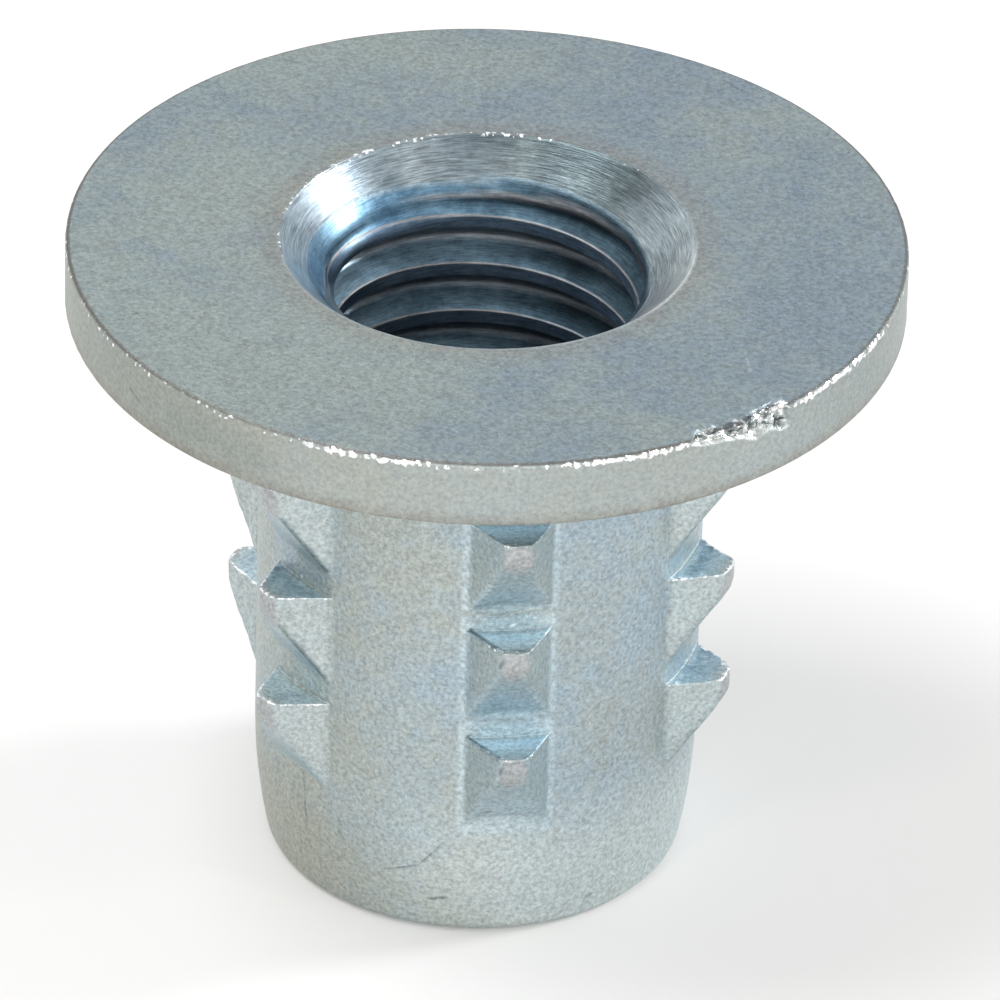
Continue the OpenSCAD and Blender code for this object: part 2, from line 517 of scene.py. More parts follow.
    def _toned(self, g: Surface, mottle: Feed) -> bpy.types.NodeSocket:
        """Gives each part of the insert its tone.

        Beige drifts to blue-grey from the left to the right, in patches and finer mottling.
        Some tones paint light and shade: the top face and the rim's sides darker, the low
        barrel lighter, the countersink lighter at the front and right and darker at the back
        right, the bore darker and more so on its right, and the thread's lips lightened.

        Args:
            g: Tree of the material.
            mottle: The fine pattern of the plating.

        Returns:
            The colour of the plating, with its painted light and shade.
        """
        layers = (
            # Painted light on the low barrel
            (self.lead_light, Side.LOW, Side.LIGHTER),
            (self.lead_side, Side.LOW, Side.LEFTMOST),
            # The top face's darker tone is painted shade
            (self.top, Zone.TOP),
            (self.rim, Zone.RIM),
            # Darker sides of the rim: painted shade
            (self.rim_side_shade, Zone.RIM, Side.WING),
            (self.cone, Zone.CONE),
            # Countersink tones that paint light and shade: lighter at the front and right, darker at
            # the back right
            (self.cone_front_light, Zone.CONE, Side.NEAR),
            (self.cone_back_shade, Zone.CONE, Side.RIGHT_HALF, Side.FAR),
            (self.cone_right_light, Zone.CONE, Side.RIGHTMOST, Side.AHEAD),
            (self.cone_low_light, Zone.CONE, Side.RIGHTMOST, Side.NEAREST),
            # Bore: partly its own blue-grey, partly painted shade; painted shade on the right half,
            # painted light on the threaded left half
            (self.bore, Zone.BORE),
            (self.bore_right_shade, Zone.BORE, Side.RIGHT_HALF),
            (self.flank_light, Zone.BORE, Side.THREADED, Side.LIT_HALF),
            (self.crest, Mark.CREST),
            # The lips and root lines are lightened with a painted highlight
            (self.lip, Mark.LIP),
            (self.frame, Mark.FRAME, Side.MIDDLE),
            (self.face, Mark.FACE),
            (self.side_face, Mark.FACE, Side.ASIDE),
            (self.slope, Mark.SLOPE),
            (self.side_slope, Mark.SLOPE, Side.ASIDE),
            (self.shelf, Mark.SHELF),
            (self.side_shelf, Mark.SHELF, Side.ASIDE),
            (self.nose, Mark.NOSE),
        )
        patches = g.add(NOISE, g.at, self.patches.feeds())
        blend = g.add(Sum.TIMES_PLUS, mottle, self.mottle_share, patches)
        drifted = g.add(Sum.PLUS, blend, g.share[Side.DRIFT])
        wander = g.add(RANGE, drifted, *self.wander_span)
        colour = g.coat(linear(self.barrel.plain), (wander, linear(self.barrel.patch)))
        for tone, *places in layers:
            mixed = g.coat(linear(tone.plain), (wander, linear(tone.patch)))
            colour = g.coat(colour, (g.common(*places), mixed))
        return colour

    def _shaded_and_scuffed(self, g: Surface, colour: Feed, mottle: Feed) -> bpy.types.NodeSocket:
        """Lays brownish painted shade at the rim's foot and round the countersink, and the scuffs,
        some of which are painted highlights and shadows.
        """
        # Painted shade under the rim's lower rounding and where the top face slopes into the
        # countersink
        rim, sink = g.common(Side.RIM_FOOT, Zone.RIM), g.common(Side.ROUND_SINK, Zone.TOP)
        foot_and_sink_shade_share = g.add(Sum.MOST, rim, sink)
        broken = g.add(RANGE, mottle, *self.shade_break_span)
        foot_and_sink_shade_share = g.add(Sum.TIMES, foot_and_sink_shade_share, broken)
        scuffs = [(self._scuffed(g, mottle, scuff), linear(scuff.colour)) for scuff in self.scuffs]
        return g.coat(colour, (foot_and_sink_shade_share, linear(self.foot_and_sink_shade)), *scuffs)

    def _scuffed(self, g: Surface, mottle: Feed, scuff: Scuff) -> bpy.types.NodeSocket:
        """Makes the mask of a scuff from the distance to its line.

        Args:
            g: Tree of the material.
            mottle: A fine pattern that frays the line.
            scuff: Where the scuff lies.

        Returns:
            A share from 0 to the scuff's strength.
        """
        start, end = Vector(scuff.start) * MM, Vector(scuff.end) * MM
        along, width = end - start, scuff.width * MM
        gone = g.add(VECTOR_MATH, g.at, tuple(start), operation="SUBTRACT")
        reach = g.add(VECTOR_MATH, gone, tuple(along), operation="DOT_PRODUCT", out="Value")
        part = g.add(MATH, reach, 1 / along.length_squared, operation="MULTIPLY", use_clamp=True)
        foot = g.add(VECTOR_MATH, tuple(along), {"Scale": part}, operation="SCALE")
        away = g.add(VECTOR_MATH, gone, foot, operation="DISTANCE", out="Value")
        frayed = g.add(Sum.TIMES_PLUS, mottle, self.fray * width, away)
        edge = self.soft_edge * width
        return g.add(RANGE, frayed, edge, -edge, 0.0, scuff.strength)

    def _tool_lines(self, g: Surface) -> bpy.types.NodeSocket:
        """Makes the broken rings that a turning tool leaves in the countersink."""
        angle = g.add(MATH, g.parts[X], g.parts[Y], operation="ARCTAN2")
        along = self.cone_r_mm / self.tool_line_length_mm
        around = g.add(Sum.TIMES, angle, along)
        close = per_metre(self.tool_line_mm)
        across = g.add(Sum.TIMES, g.radius, close)
        drop = g.add(Sum.TIMES, g.parts[Z], close)
        place = g.add("ShaderNodeCombineXYZ", around, across, drop)
        return g.add(NOISE, place, {"Scale": 1.0, "Detail": 3.0, "Roughness": 0.65})

    def _lined(self, g: Surface, bore_share: float) -> bpy.types.NodeSocket:
        """Gives the share of the tool lines: full in the countersink, fainter in the bore."""
        bore = g.add(Sum.TIMES, g.share[Zone.BORE], bore_share)
        return g.add(Sum.MOST, g.share[Zone.CONE], bore)

    def _grained(self, g: Surface, colour: Feed, calm: Feed, lines: Feed) -> bpy.types.NodeSocket:
        """Lightens and darkens the colour by the plating's specks and by the tool lines."""
        speckle = g.add(NOISE, g.at, self.speckle.feeds())
        light = g.add(RANGE, speckle, *self.light_specks)
        dark = g.add(RANGE, speckle, *self.dark_pits)
        lift = g.add(Sum.TIMES, light, dark)
        turned = g.add(RANGE, lines, *self.turned_contrast)
        for share, value in ((calm, 1.0), (self._lined(g, self.bore_line_colour), turned)):
            lift = g.add(MIX, share, {MIX_LOW: lift, MIX_HIGH: value}, data_type="FLOAT")
        return g.add(VECTOR_MATH, colour, {"Scale": lift}, operation="SCALE")

    def _edge_light_and_wear(self, g: Surface, colour: Feed) -> tuple[Feed, Feed]:
        """Paints a dark reflection where the flange's edge rolls off, painted glints on the worn
        edges and the barbs' ridges, and painted highlights and shade among the crushed chips.

        Args:
            g: Tree of the material.
            colour: The colour so far.

        Returns:
            The colour with the painted light and the wear, and the share of worn, glinting metal.
        """
        # Painted dark reflection where the flange's edge rolls off
        roll = g.add(RANGE, g.share[Zone.TOP], *self.roll_span)
        rolled_dark_reflection = g.add(Sum.TIMES, roll, g.share[Zone.EDGE])
        # Painted glints on the worn stretches of the edges and on the side barbs' ridges
        glint_spots = g.add(NOISE, g.at, self.glint_spots.feeds())
        rubbed_glints = g.add(RANGE, g.share[Side.ASIDE], *self.ridge_glint_span)
        rubbed_glints = g.add(Sum.TIMES, rubbed_glints, g.share[Mark.RIDGE])
        share = g.add(Sum.MOST, g.share[Zone.WORN], rubbed_glints)
        reach = g.add(Sum.TIMES_PLUS, share, self.worn_glint_weight, glint_spots)
        bare = g.add(RANGE, reach, *self.glint_spot_span)
        started = g.add(RANGE, share, *self.worn_glint_start)
        worn = g.add(Sum.TIMES, started, bare)
        # In the crushed stretch, dark chips are painted shade and light chips painted highlights
        upright = g.add(VECTOR_MATH, g.at, self.chip_stretch, operation="MULTIPLY")
        chips = g.add(NOISE, upright, self.chips.feeds())
        broken = g.add(RANGE, g.share[Mark.CRUSH], *self.broken_span)
        chipped = []
        for span in (self.chip_shade, self.chip_glints):
            chipped.append(g.add(Sum.TIMES, g.add(RANGE, chips, *span), broken))
        glint = linear(self.glint)
        coats = ((rolled_dark_reflection, linear(self.edge)), (worn, glint))
        chip_coats = zip(chipped, (linear(self.pit_shade), glint))
        return g.coat(colour, *coats, *chip_coats), worn

    def _dulled(self, g: Surface, mottle: Feed, worn: Feed) -> bpy.types.NodeSocket:
        """Gives the roughness: dull plating, smoother where it was turned, on the worn, glinting
        edges and in the crushed stretch.
        """
        rough = g.add(RANGE, mottle, *self.roughness)
        feeds = {MIX_LOW: self.turned_roughness, MIX_HIGH: self.bore_roughness}
        bored = g.add(MIX, g.share[Side.SHADED], feeds, data_type="FLOAT")
        bright = g.add(Sum.MOST, worn, g.share[Mark.CRUSH])
        steps = (
            (g.share[Zone.CONE], self.turned_roughness),
            (g.share[Zone.BORE], bored),
            (g.share[Mark.LIP], self.lip_roughness),
            (bright, self.worn_roughness),
        )
        for share, value in steps:
            rough = g.add(MIX, share, {MIX_LOW: rough, MIX_HIGH: value}, data_type="FLOAT")
        return rough

    def _relief(self, g: Surface, calm: Feed, lines: Feed) -> bpy.types.NodeSocket:
        """Gives the bump: the plating's grain outside, and tool lines where it was turned."""
        grain = g.add(NOISE, g.at, self.grain.feeds())
        plated = g.add(Sum.MINUS, 1.0, self._lined(g, 1.0))
        plated = g.add(Sum.MINUS, plated, calm)
        cut = g.add(Sum.TIMES, lines, self._lined(g, self.bore_line_depth))
        grain = g.add(Sum.TIMES, grain, plated)
        depth = self.grain_depth_mm * MM
        bump = g.add("ShaderNodeBump", {"Strength": 1.0, "Distance": depth, "Height": grain})
        depth = self.tool_line_depth_mm * MM
        feeds = {"Strength": 1.0, "Distance": depth, "Height": cut, "Normal": bump}
        return g.add("ShaderNodeBump", feeds)


@dataclass
class InsertSkin:
    """Base skin of the insert: a turned shell and a bore that follows the helix."""

    flange_r: float = 9.4
    flange_t: float = 1.6
    edge_r: float = 0.12
    height: float = 15.45
    barrel_r: float = 5.025
    root_fillet: float = 0.14
    lead_h: float = 2.95
    lead_drop: float = 0.32
    end_edge_r: float = 0.3
    bore_r: float = 3.4
    sink_r: float = 4.62
    sink_edge_r: float = 0.05
    mouth_r: float = 3.85
    shell_top_r: float = 5.12
    shell_end_r: float = 4.25
    bore_rings: int = 148
    pitch: float = 1.25
    crest_z: float = 13.84
    crest_azimuth: float = 81.65
    groove_half: float = 0.47
    flank_run: float = 0.36
    groove_depth: float = 0.6
    first_shelf: float = 11.17
    row_step: float = 2.84
    rows: int = 3
    columns: int = 6
    first_azimuth: float = -90.0
    knock_azimuth: float = -60.0
    gap_steps: int = 8
    knock_steps: int = 60
    worn_glint_stretches: tuple[tuple[float, float], ...] = ((-122, -104), (-88, -69), (-53, -27))
    worn_glint_fade: float = 4.0
    worn_glint_least: float = 0.25
    sink_glints: tuple[float, float] = (0.04, 0.62)
    sink_glint_azimuth: float = 115.0
    lateral: tuple[float, ...] = (
        0.0, 0.1, 0.19, 0.26, 0.31, 0.36, 0.43, 0.52, 0.62,
        0.72, 0.81, 0.88, 0.93, 0.97, 1.01, 1.06, 1.13, 1.22,
    )
    above_shelf: tuple[float, ...] = (0.45, 0.3, 0.2, 0.14, 0.1, 0.06, 0.03)
    shelf_zone: float = 0.05
    shelf_margin: float = 0.01
    shelf_rows: int = 9
    below_shelf: tuple[float, ...] = (
        0.07, 0.1, 0.14, 0.19, 0.25, 0.32, 0.4, 0.48, 0.56, 0.63, 0.7,
        0.8, 0.95, 1.1, 1.25, 1.4, 1.55, 1.7, 1.83, 1.94, 2.02, 2.09, 2.15, 2.21, 2.3,
    )
    thread_phases: tuple[float, ...] = (
        0.0, 0.095, 0.118, 0.13, 0.15, 0.25, 0.35, 0.43,
        0.5, 0.57, 0.67, 0.77, 0.85, 0.87, 0.882, 0.905,
    )
    points: list[np.ndarray] = field(default_factory=list)
    faces: list[tuple[int, ...]] = field(default_factory=list)
    zones: dict[Zone, list[np.ndarray]] = field(default_factory=dict)

    @property
    def flange_base(self) -> float:
        """Height of the flange's underside."""
        return self.height - self.flange_t

    def azimuths(self) -> np.ndarray:
        """Azimuths of the shell's columns, close together on barbs and on the knock.

        Returns:
            Angles in radians, rising, over one turn.
        """
        half = np.arcsin(np.array(self.lateral) / self.barrel_r)
        barb = np.concatenate([-half[:0:-1], half])
        pitch = math.tau / self.columns
        made = []
        for column in range(self.columns):
            centre = math.radians(self.first_azimuth) + column * pitch
            made.append(centre + barb)
            middle = math.degrees(centre + pitch / 2)
            knocked = abs(middle - self.knock_azimuth) < 1
            steps = self.knock_steps if knocked else self.gap_steps
            gap = np.linspace(centre + half[-1], centre + pitch - half[-1], steps + 1)
            made.append(gap[1:-1])
        return np.concatenate(made)

    def worn_glint_share(self, azimuth: np.ndarray) -> np.ndarray:
        """Tells how far the flange's upper edge is worn and carries painted glints, from 0 to 1.

        Args:
            azimuth: Angles in radians.

        Returns:
            A share for each angle.
        """
        share = np.full(len(azimuth), self.worn_glint_least)
        for start, end in self.worn_glint_stretches:
            middle, half = math.radians((start + end) / 2), math.radians((end - start) / 2)
            away = np.abs((azimuth - middle + math.pi) % math.tau - math.pi)
            rubbed_glints = (half - away) / math.radians(self.worn_glint_fade) + 0.5
            share = np.maximum(share, np.clip(rubbed_glints, 0, 1))
        return share

    def barrel_heights(self) -> np.ndarray:
        """Heights of the rows down the barrel's straight part, falling."""
        shelf = np.linspace(0.01, -self.shelf_zone, self.shelf_rows)
        steps = np.concatenate([self.above_shelf, shelf, -np.array(self.below_shelf)])
        start = self.flange_base - self.root_fillet
        made = [np.linspace(start, self.first_shelf + self.above_shelf[0], 9)[:-1]]
        made += [self.first_shelf - row * self.row_step + steps for row in range(self.rows)]
        return np.concatenate(made)

    def shell_profile(self) -> np.ndarray:
        """Section of the outside, from the top face round to the barrel's end.

        Returns:
            Rows of radius, height and four zone shares: top, rim, edge, none.
        """
        top, base, edge = self.height, self.flange_base, self.edge_r
        out = self.flange_r - edge
        rows = [(r, top, 1, 0, 0) for r in np.linspace(self.shell_top_r, out - 0.06, 18)]
        for turn in np.linspace(0, 1, 7):
            a = turn * math.pi / 2
            place = (out + edge * math.sin(a), top - edge + edge * math.cos(a))
            rows.append((*place, 1 - turn, turn, math.sin(2 * a) ** 0.5))
        rows += [(self.flange_r, z, 0, 1, 0) for z in np.linspace(top - edge, base + edge, 28)[1:-1]]
        for a in np.linspace(0, math.pi / 2, 5):
            rows.append((out + edge * math.cos(a), base + edge - edge * math.sin(a), 0, 1, 0))
        inner = self.barrel_r + self.root_fillet
        rows += [(r, base, 0, 0.3, 0) for r in np.linspace(out - 0.1, inner, 8)]
        for a in np.linspace(0, math.pi / 2, 4)[1:-1]:
            fall = self.root_fillet * (1 - math.cos(a))
            rows.append((inner - self.root_fillet * math.sin(a), base - fall, 0, 0, 0))
        rows += [(self.barrel_r, z, 0, 0, 0) for z in self.barrel_heights()]
        rows += [(r, z, 0, 0, 0) for r, z in self.lead_in(rows[-1][1])]
        return np.array(rows)

    def lead_in(self, start: float) -> list[tuple[float, float]]:
        """Section of the lead-in arc, the rounded rim and the end face.

        Args:
            start: Height of the last row above.

        Returns:
            Radius and height of each row.
        """
        arc_r = (self.lead_h**2 + self.lead_drop**2) / (2 * self.lead_drop)
        arc_x = self.barrel_r - arc_r
        rim_r, low = self.end_edge_r, self.lead_h - self.end_edge_r
        rim_x = arc_x + math.sqrt((arc_r - rim_r) ** 2 - low**2)
        rim_top = self.lead_h - low * arc_r / (arc_r - rim_r)
        made = [(self.barrel_r, (start + self.lead_h) / 2)]
        for z in np.linspace(self.lead_h, rim_top, 16):
            made.append((arc_x + math.sqrt(arc_r**2 - (self.lead_h - z) ** 2), z))
        first = math.asin((rim_top - rim_r) / rim_r)
        for a in np.linspace(first, -math.pi / 2, 8)[1:]:
            made.append((rim_x + rim_r * math.cos(a), rim_r + rim_r * math.sin(a)))
        made.append((self.shell_end_r, 0.0))
        return made

    def _store(self, block: np.ndarray, shares: dict[Zone, np.ndarray]) -> int:
        """Keeps a block of points with its zone shares and gives its first index."""
        start = sum(len(kept) for kept in self.points)
        self.points.append(block)
        for zone in Zone:
            given = shares.get(zone, np.zeros(len(block)))
            self.zones.setdefault(zone, []).append(given)
        return start

    def build_shell(self) -> tuple[np.ndarray, np.ndarray]:
        """Lays the turned outside.

        Returns:
            Point indices of the ring on the top face and of the ring on the end.
        """
        profile, azimuth = self.shell_profile(), self.azimuths()
        r, a = profile[:, 0][:, None], azimuth[None, :]
        z = np.broadcast_to(profile[:, 1][:, None], (len(profile), len(azimuth)))
        block = np.stack([r * np.cos(a), r * np.sin(a), z], -1).reshape(-1, 3)
        spread = [np.repeat(profile[:, 2 + i], len(azimuth)) for i in range(3)]
        shares = dict(zip((Zone.TOP, Zone.RIM, Zone.EDGE), spread))
        # A band just under the top edge takes the worn stretches' painted glints
        depth = self.height - profile[:, 1]
        band = np.clip((depth - 0.02) / 0.03, 0, 1) * np.clip((0.19 - depth) / 0.07, 0, 1)
        shares[Zone.WORN] = np.outer(band, self.worn_glint_share(azimuth)).reshape(-1)
        start = self._store(block, shares)
        index = start + np.arange(len(block)).reshape(len(profile), len(azimuth))
        beside = np.roll(index, -1, axis=1)
        quads = np.stack([index[:-1], index[1:], beside[1:], beside[:-1]], -1)
        turned = self.split_other_way(profile[:, 1], azimuth)
        quads[turned] = np.roll(quads[turned], 1, axis=-1)
        self.faces += [tuple(q) for q in quads.reshape(-1, 4).tolist()]
        return index[0], index[-1]

    def split_other_way(self, height: np.ndarray, azimuth: np.ndarray) -> np.ndarray:
        """Finds the quads whose diagonal must run the other way to follow a barb's edges.

        Args:
            height: Heights of the rows.
            azimuth: Angles of the columns in radians.

        Returns:
            True for each such quad, by row and column.
        """
        pitch = math.tau / self.columns
        half = pitch / 2
        local = (azimuth - math.radians(self.first_azimuth) + half + 1e-6) % pitch - half
        drop = self.first_shelf - (height[:-1] + height[1:]) / 2
        down = (drop + self.shelf_margin) % self.row_step - self.shelf_margin
        on_shelf = (down > -self.shelf_margin) & (down < self.shelf_zone)
        return on_shelf[:, None] == (local >= 0)[None, :]

    def build_bore(self) -> tuple[np.ndarray, np.ndarray]:
        """Lays the bore in rows that climb with the thread, and the cone in rings.

        Returns:
            Point indices of the ring on the top face and of the ring on the end.
        """
        count, pitch = self.bore_rings, self.pitch
        turn = np.arange(count) / count
        cone_top = self.height - self.sink_r + self.bore_r
        top = cone_top + 0.5 * pitch
        turns = np.arange(-math.ceil(self.height / pitch) - 2, 3)
        phase = (turns[:, None] + np.array(self.thread_phases)[None, :]).reshape(-1)
        lean = turn - self.crest_azimuth / 360
        z = self.crest_z + pitch * (phase[None, :] + lean[:, None])
        rows = z.shape[1]
        index = np.full(z.shape, -1)
        inside = (z > 0) & (z < top)
        index[inside] = np.arange(inside.sum())
        low = inside.sum() + np.arange(count)
        high = low + count
        index = np.where(z <= 0, low[:, None], index)
        index = np.where(z >= top, high[:, None], index)
        height = np.concatenate([z[inside], np.zeros(count), np.full(count, top)])
        angle = np.broadcast_to(turn[:, None] * math.tau, z.shape)
        angle = np.concatenate([angle[inside], turn * math.tau, turn * math.tau])
        radius = np.maximum(self.bore_r, self.bore_r + height - cone_top)
        radius = np.maximum(radius, self.mouth_r - height)
        phase_there = (height - self.crest_z) / pitch - (angle / math.tau - self.crest_azimuth / 360)
        away = np.abs(phase_there % 1 - 0.5) * pitch
        sunk = np.clip((self.groove_half - away) / self.flank_run, 0, 1)
        thread = self.bore_r + sunk * self.groove_depth
        coned = np.clip((radius - thread) / 0.04, 0, 1) * (height > cone_top + 0.05)
        block = np.stack([radius * np.cos(angle), radius * np.sin(angle), height], -1)
        start = self._store(block, {Zone.CONE: coned, Zone.BORE: 1 - coned})
        index += start
        per_turn = len(self.thread_phases)
        beside = np.full((count, rows), -1)
        beside[:-1] = index[1:]
        beside[-1, : rows - per_turn] = index[0, per_turn:]
        beside[-1, rows - per_turn :] = high[0] + start
        quads = np.stack([index[:, :-1], beside[:, :-1], beside[:, 1:], index[:, 1:]], -1)
        for quad in quads.reshape(-1, 4).tolist():
            corners = tuple(dict.fromkeys(quad))
            if len(corners) > 2:
                self.faces.append(corners)
        return self.build_cone(high + start, top, turn * math.tau), low + start

    def build_cone(self, ring: np.ndarray, start_z: float, angle: np.ndarray) -> np.ndarray:
        """Lays plain rings from the thread up the cone and onto the top face.

        Args:
            ring: Point indices of the ring to start from.
            start_z: Height of that ring.
            angle: Azimuths of its points in radians.

        Returns:
            Point indices of the last ring.
        """
        soft = self.sink_edge_r
        touch = soft * math.tan(math.radians(22.5))
        drop = touch * math.sin(math.radians(45))
        straight = np.linspace(start_z, self.height - drop - 0.05, 6)[1:]
        rows = [(self.sink_r - self.height + z, z, 1.0, 0.0, 0.0) for z in straight]
        rows.append((self.sink_r - drop, self.height - drop, 1.0, 0.0, 0.7))
        centre = (self.sink_r + touch, self.height - soft)
        for a in np.radians([22.5, 0.0]):
            place = (centre[0] - soft * math.sin(a), centre[1] + soft * math.cos(a))
            rows.append((*place, 0.5, 0.5, 1.0))
        rows += [(self.sink_r + gap, self.height, 0.0, 1.0, 0.0) for gap in (0.1, 0.22, 0.36)]
        # Painted glints along the countersink's edge, mostly towards the back
        behind = 0.5 + 0.5 * np.cos(angle - math.radians(self.sink_glint_azimuth))
        least, most = self.sink_glints
        worn = least + (most - least) * behind**4
        for radius, z, cone, top, edge in rows:
            around = np.stack([radius * np.cos(angle), radius * np.sin(angle)], -1)
            block = np.column_stack([around, np.full(len(angle), z)])
            share = np.ones(len(angle))
            kept = {Zone.CONE: cone * share, Zone.TOP: top * share, Zone.WORN: edge * worn}
            upper = self._store(block, kept) + np.arange(len(angle))
            quads = np.stack([ring, np.roll(ring, -1), np.roll(upper, -1), upper], -1)
            self.faces += [tuple(q) for q in quads.tolist()]
            ring = upper
        return ring

    def zip_rings(self, first: np.ndarray, second: np.ndarray) -> None:
        """Joins two rings that have different numbers of points with triangles."""
        place = np.concatenate(self.points)
        rings = []
        for ring in (first, second):
            angle = np.arctan2(place[ring, 1], place[ring, 0]) % math.tau
            order = np.argsort(angle)
            rings.append((ring[order], angle[order]))
        (one, a), (two, b) = rings
        i = j = 0
        while i < len(one) or j < len(two):
            next_a = a[i + 1] if i + 1 < len(one) else a[0] + math.tau
            next_b = b[j + 1] if j + 1 < len(two) else b[0] + math.tau
            here, there = one[i % len(one)], two[j % len(two)]
            if j >= len(two) or (i < len(one) and next_a <= next_b):
                self.faces.append((int(here), int(one[(i + 1) % len(one)]), int(there)))
                i += 1
            else:
                self.faces.append((int(here), int(two[(j + 1) % len(two)]), int(there)))
                j += 1

    def build(self, name: str) -> bpy.types.Object:
        """Builds the closed skin as an object at the origin.

        Args:
            name: Name of the object.

        Returns:
            The object, with the zone shares on its points.
        """
        shell_top, shell_end = self.build_shell()
        bore_top, bore_end = self.build_bore()
        self.zip_rings(shell_top, bore_top)
        self.zip_rings(shell_end, bore_end)
        mesh = bpy.data.meshes.new(name)
        mesh.from_pydata((np.concatenate(self.points) * MM).tolist(), [], self.faces)
        for zone, blocks in self.zones.items():
            layer = mesh.attributes.new(zone.value, "FLOAT", "POINT")
            layer.data.foreach_set("value", np.concatenate(blocks))
        shape = bmesh.new()
        shape.from_mesh(mesh)
        bmesh.ops.recalc_face_normals(shape, faces=shape.faces)
        shape.to_mesh(mesh)
        shape.free()
        mesh.shade_smooth()
        mesh.update()
        piece = bpy.data.objects.new(name, mesh)
        bpy.context.scene.collection.objects.link(piece)
        return piece


def sizes_of(form: Feed) -> dict[str, float]:
    """Gives the sizes of a form by name, which are the inputs of its tree."""
    return {entry.name: getattr(form, entry.name) for entry in fields(form)}


def grow(piece: bpy.types.Object, graph: Graph, sizes: dict[str, float]) -> None:
    """Puts a geometry tree on a piece and sets its inputs.

    Args:
        piece: Object that the tree works on.
        graph: The finished tree.
        sizes: Value of each named input.
    """
    modifier = piece.modifiers.new(graph.tree.name, "NODES")
    modifier.node_group = graph.tree
    for item in graph.tree.interface.items_tree:
        if item.in_out == "INPUT" and item.name in sizes:
            modifier[item.identifier] = sizes[item.name]


def settle(piece: bpy.types.Object) -> None:
    """Turns a piece with its trees into a plain mesh."""
    graph = bpy.context.evaluated_depsgraph_get()
    made = piece.evaluated_get(graph)
    mesh = bpy.data.meshes.new_from_object(made, preserve_all_data_layers=True, depsgraph=graph)
    piece.modifiers.clear()
    piece.data = mesh
    mesh.name = piece.name


@dataclass(frozen=True)
class ThreadGroove:
    """Right-handed coarse thread of 1.25 mm pitch, cut into the bore."""

    pitch: float = 1.25
    minor_r: float = 3.4
    depth: float = 0.6
    groove_w: float = 0.94
    flank_run: float = 0.36
    crest_z: float = 13.84
    crest_turn: float = 81.65 / 360
    neck_r: float = 3.62
    neck_z: float = 14.02
    cone_z: float = 14.3
    reach_r: float = 4.5
    lower_lip: float = 0.7
    root_line: float = 0.8
    root_line_w: float = 0.05

    def tree(self, material: bpy.types.Material) -> Graph:
        """Builds the tree that pushes bore points out to the thread's section."""
        g = Graph.of_geometry("thread_groove", sizes_of(self))
        _, parts, radius = g.whereabouts()

        # Where a point is on the helix, and how far that is from the middle of the groove
        azimuth = g.add(MATH, parts[Y], parts[X], operation="ARCTAN2")
        turn = g.add(Sum.OVER, azimuth, math.tau)
        rise = g.add(Sum.MINUS, parts[Z], g.size("crest_z"))
        climb = g.add(Sum.OVER, rise, g.size("pitch"))
        lag = g.add(Sum.MINUS, turn, g.size("crest_turn"))
        ahead = g.add(Sum.MINUS, climb, lag)
        phase = g.add(MATH, ahead, 1.0, 0.0, operation="WRAP")
        off = g.add(MATH, g.add(Sum.MINUS, phase, 0.5), operation="ABSOLUTE")
        away = g.add(Sum.TIMES, off, g.size("pitch"))
        half = g.add(Sum.OVER, g.size("groove_w"), 2.0)
        inner = g.add(Sum.MINUS, half, g.size("flank_run"))
        cut = g.add(RANGE, away, inner, half, g.size("depth"), 0.0)

        # The groove runs out into a short smooth neck, which is widest at the back
        mouth = g.add(RANGE, parts[Z], g.size("neck_z"), g.size("cone_z"), 0.0, 1.0)
        neck = g.add(Sum.MINUS, g.size("neck_r"), g.size("minor_r"))
        neck = g.add(Sum.TIMES, neck, g.add(RANGE, parts[Y], *Fade.NECK_TO_BACK.value))
        cut = g.add(MIX, mouth, {MIX_LOW: cut, MIX_HIGH: neck}, data_type="FLOAT")
        wall = g.add(Sum.PLUS, cut, g.size("minor_r"))
        soft = g.add(RANGE, radius, *Fade.SOFT_OUTWARD.value)
        wanted = g.add(MATH, wall, radius, soft, operation="SMOOTH_MAX")
        ratio = g.add(Sum.OVER, wanted, radius)
        stretch = g.add("ShaderNodeCombineXYZ", ratio, ratio, 1.0)
        stood = g.add("GeometryNodeInputPosition")
        moved = g.add(VECTOR_MATH, stood, stretch, operation="MULTIPLY")
        inside = g.add(MATH, radius, g.size("reach_r"), operation="LESS_THAN")

        # The crests, and the lips and root lines; the finish tones the crests and lightens the lips
        # and root lines with a painted highlight
        bare = g.add(RANGE, g.add(Sum.MINUS, wall, radius), *Fade.AT_WALL.value)
        bored = g.add(Sum.TIMES, bare, inside)
        past = g.add(Sum.MINUS, away, half)
        crest = g.add(RANGE, past, *Fade.PAST_FLANK.value)
        off_lip = g.add(MATH, past, operation="ABSOLUTE")
        lip = g.add(RANGE, off_lip, *Fade.AT_LIP.value)
        upper = g.add(MATH, phase, 0.5, operation="LESS_THAN")
        more = g.add(Sum.MINUS, 1.0, g.size("lower_lip"))
        clear = g.add(Sum.TIMES_PLUS, upper, more, g.size("lower_lip"))
        lip = g.add(Sum.TIMES, lip, clear)
        root_end = g.add(Sum.PLUS, inner, g.size("root_line_w"))
        root = g.add(RANGE, away, inner, root_end, g.size("root_line"), 0.0)
        lip = g.add(Sum.MOST, lip, root)
        marks = {Mark.CREST: crest, Mark.LIP: lip}
        for mark, value in marks.items():
            marks[mark] = g.add(Sum.TIMES, value, bored)
        marked = g.mark(g.size("Geometry"), marks)
        feeds = {"Geometry": marked, "Selection": inside, "Position": moved}
        shaped = g.add("GeometryNodeSetPosition", feeds)
        g.close(shaped, material)
        return g


